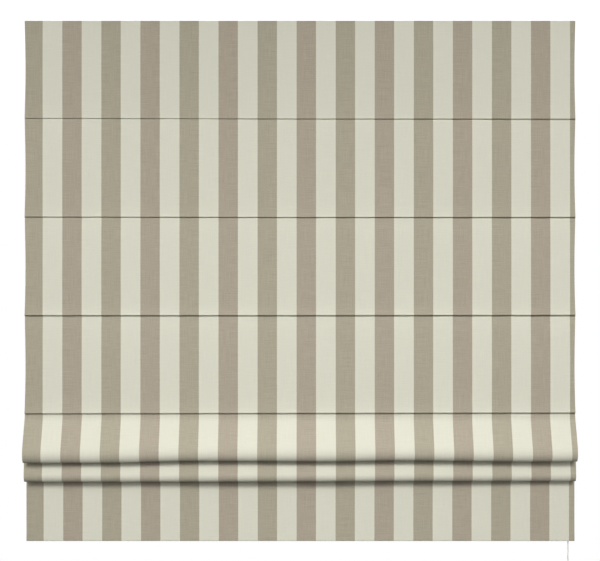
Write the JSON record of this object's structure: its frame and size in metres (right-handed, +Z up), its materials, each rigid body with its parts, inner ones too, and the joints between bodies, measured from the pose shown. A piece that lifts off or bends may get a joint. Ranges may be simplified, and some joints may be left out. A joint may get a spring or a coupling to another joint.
{
  "type": "roman blind",
  "caption": "Striped cloth roman blind, part raised, hung by touch tape from a headrail on wall brackets, with rods, rings, lift cords, a cord lock and a pull cord.",
  "frame": {"origin": "wall plane, in the middle of the four holes of the two outer wall brackets", "axes": "+X along the blind to the right as seen from the room, +Y into the wall, +Z up"},
  "size_m": [1.4, 0.0692, 1.434],
  "materials": {
    "cloth": "plain woven yarn-dyed stripes, taupe and pale beige",
    "touch_tape": "woven hook and loop tape",
    "anodised_aluminium": "satin anodised",
    "bracket_steel": "white powder coat",
    "bolt_steel": "zinc plated",
    "white_plastic": "moulded, fine grain",
    "roller_plastic": "smooth moulded",
    "cam_brass": "turned and toothed",
    "ring_plastic": "translucent moulded",
    "rod_fibreglass": "drawn black glass-fibre rod",
    "cord_braid": "braided white cord",
    "knob_plastic": "smooth moulded"
  },
  "bodies": {
    "rail_unit": {"headrail": "anodised_aluminium", "end_cap_left": "white_plastic", "end_cap_right": "white_plastic", "wall_bracket_left": "bracket_steel", "wall_bracket_middle": "bracket_steel", "wall_bracket_right": "bracket_steel", "bracket_bolts": "bolt_steel", "bracket_nuts": "bolt_steel", "hook_tape": "touch_tape", "loop_tape": "touch_tape", "fabric": "cloth", "guide_pins": "bolt_steel", "cord_lock_housing": "white_plastic", "lock_pins": "bolt_steel", "cord_guide_1": "white_plastic", "cord_guide_2": "white_plastic", "cord_guide_3": "white_plastic", "cord_guide_4": "white_plastic", "lift_cord_1": "cord_braid", "lift_cord_2": "cord_braid", "lift_cord_3": "cord_braid", "lift_cord_4": "cord_braid"},
    "rod_1_unit": {"rod_1": "rod_fibreglass", "rod_tips_1": "white_plastic", "rings_1": "ring_plastic"},
    "rod_2_unit": {"rod_2": "rod_fibreglass", "rod_tips_2": "white_plastic", "rings_2": "ring_plastic"},
    "rod_3_unit": {"rod_3": "rod_fibreglass", "rod_tips_3": "white_plastic", "rings_3": "ring_plastic"},
    "rod_4_unit": {"rod_4": "rod_fibreglass", "rod_tips_4": "white_plastic", "rings_4": "ring_plastic"},
    "rod_5_unit": {"rod_5": "rod_fibreglass", "rod_tips_5": "white_plastic", "rings_5": "ring_plastic"},
    "rod_6_unit": {"rod_6": "rod_fibreglass", "rod_tips_6": "white_plastic", "rings_6": "ring_plastic", "weight_bar": "anodised_aluminium", "weight_bar_caps": "white_plastic", "cord_stops": "white_plastic"},
    "pull_unit": {"pull_cord": "cord_braid", "cord_pull": "knob_plastic", "cord_joiner_body": "white_plastic", "cord_joiner_cap": "white_plastic"},
    "guide_roller_1_unit": {"guide_roller_1": "roller_plastic"},
    "guide_roller_2_unit": {"guide_roller_2": "roller_plastic"},
    "guide_roller_3_unit": {"guide_roller_3": "roller_plastic"},
    "guide_roller_4_unit": {"guide_roller_4": "roller_plastic"},
    "lock_roller_unit": {"lock_roller": "roller_plastic"},
    "lock_cam_unit": {"lock_cam": "cam_brass"}
  },
  "joints": [
    {"name": "rod_1_lift", "type": "slide", "parent": "rail_unit", "child": "rod_1_unit", "axis": [0, 0, 1], "range_m": [0, 0.205], "deforming": ["fabric", "lift_cord_1", "lift_cord_2", "lift_cord_3", "lift_cord_4"]},
    {"name": "rod_2_lift", "type": "slide", "parent": "rod_1_unit", "child": "rod_2_unit", "axis": [0, 0, 1], "range_m": [0, 0.237], "deforming": ["fabric", "lift_cord_1", "lift_cord_2", "lift_cord_3", "lift_cord_4"]},
    {"name": "rod_3_lift", "type": "slide", "parent": "rod_2_unit", "child": "rod_3_unit", "axis": [0, 0, 1], "range_m": [0, 0.237], "deforming": ["fabric", "lift_cord_1", "lift_cord_2", "lift_cord_3", "lift_cord_4"]},
    {"name": "rod_4_lift", "type": "slide", "parent": "rod_3_unit", "child": "rod_4_unit", "axis": [0, 0, 1], "range_m": [0, 0.237], "deforming": ["fabric", "lift_cord_1", "lift_cord_2", "lift_cord_3", "lift_cord_4"]},
    {"name": "rod_5_lift", "type": "slide", "parent": "rod_4_unit", "child": "rod_5_unit", "axis": [0, 0, 1], "range_m": [-0.23, 0], "deforming": ["fabric", "lift_cord_1", "lift_cord_2", "lift_cord_3", "lift_cord_4"]},
    {"name": "rod_6_lift", "type": "slide", "parent": "rod_5_unit", "child": "rod_6_unit", "axis": [0, 0, 1], "range_m": [-0.29, 0], "deforming": ["fabric", "lift_cord_1", "lift_cord_2", "lift_cord_3", "lift_cord_4"]},
    {"name": "pull_travel", "type": "slide", "parent": "rail_unit", "child": "pull_unit", "axis": [0, 0, 1], "range_m": [-0.237, 0], "deforming": ["lift_cord_1", "lift_cord_2", "lift_cord_3", "lift_cord_4"]},
    {"name": "guide_roller_1_spin", "type": "hinge", "parent": "rail_unit", "child": "guide_roller_1_unit", "pos_m": [-0.59525, -0.016, 0.0333], "axis": [0, 1, 0], "continuous": true},
    {"name": "guide_roller_2_spin", "type": "hinge", "parent": "rail_unit", "child": "guide_roller_2_unit", "pos_m": [-0.19525, -0.016, 0.0333], "axis": [0, 1, 0], "continuous": true},
    {"name": "guide_roller_3_spin", "type": "hinge", "parent": "rail_unit", "child": "guide_roller_3_unit", "pos_m": [0.20475, -0.016, 0.0333], "axis": [0, 1, 0], "continuous": true},
    {"name": "guide_roller_4_spin", "type": "hinge", "parent": "rail_unit", "child": "guide_roller_4_unit", "pos_m": [0.60475, -0.016, 0.0333], "axis": [0, 1, 0], "continuous": true},
    {"name": "lock_roller_spin", "type": "hinge", "parent": "rail_unit", "child": "lock_roller_unit", "pos_m": [0.68255, -0.016, 0.0333], "axis": [0, 1, 0], "continuous": true},
    {"name": "lock_cam_release", "type": "hinge", "parent": "rail_unit", "child": "lock_cam_unit", "pos_m": [0.6753, -0.016, 0.015], "axis": [0, 1, 0], "range_deg": [0, 40], "stiffness_Nm_per_rad": 0.004, "springref_deg": -17.19}
  ],
  "couplings": [
    {"joint": "pull_travel", "follows": "rod_4_lift", "ratio": -1},
    {"joint": "guide_roller_1_spin", "follows": "rod_4_lift", "rad_per_m": 210.53},
    {"joint": "guide_roller_2_spin", "follows": "rod_4_lift", "rad_per_m": 210.53},
    {"joint": "guide_roller_3_spin", "follows": "rod_4_lift", "rad_per_m": 210.53},
    {"joint": "guide_roller_4_spin", "follows": "rod_4_lift", "rad_per_m": 210.53},
    {"joint": "lock_roller_spin", "follows": "rod_4_lift", "rad_per_m": 210.53}
  ]
}
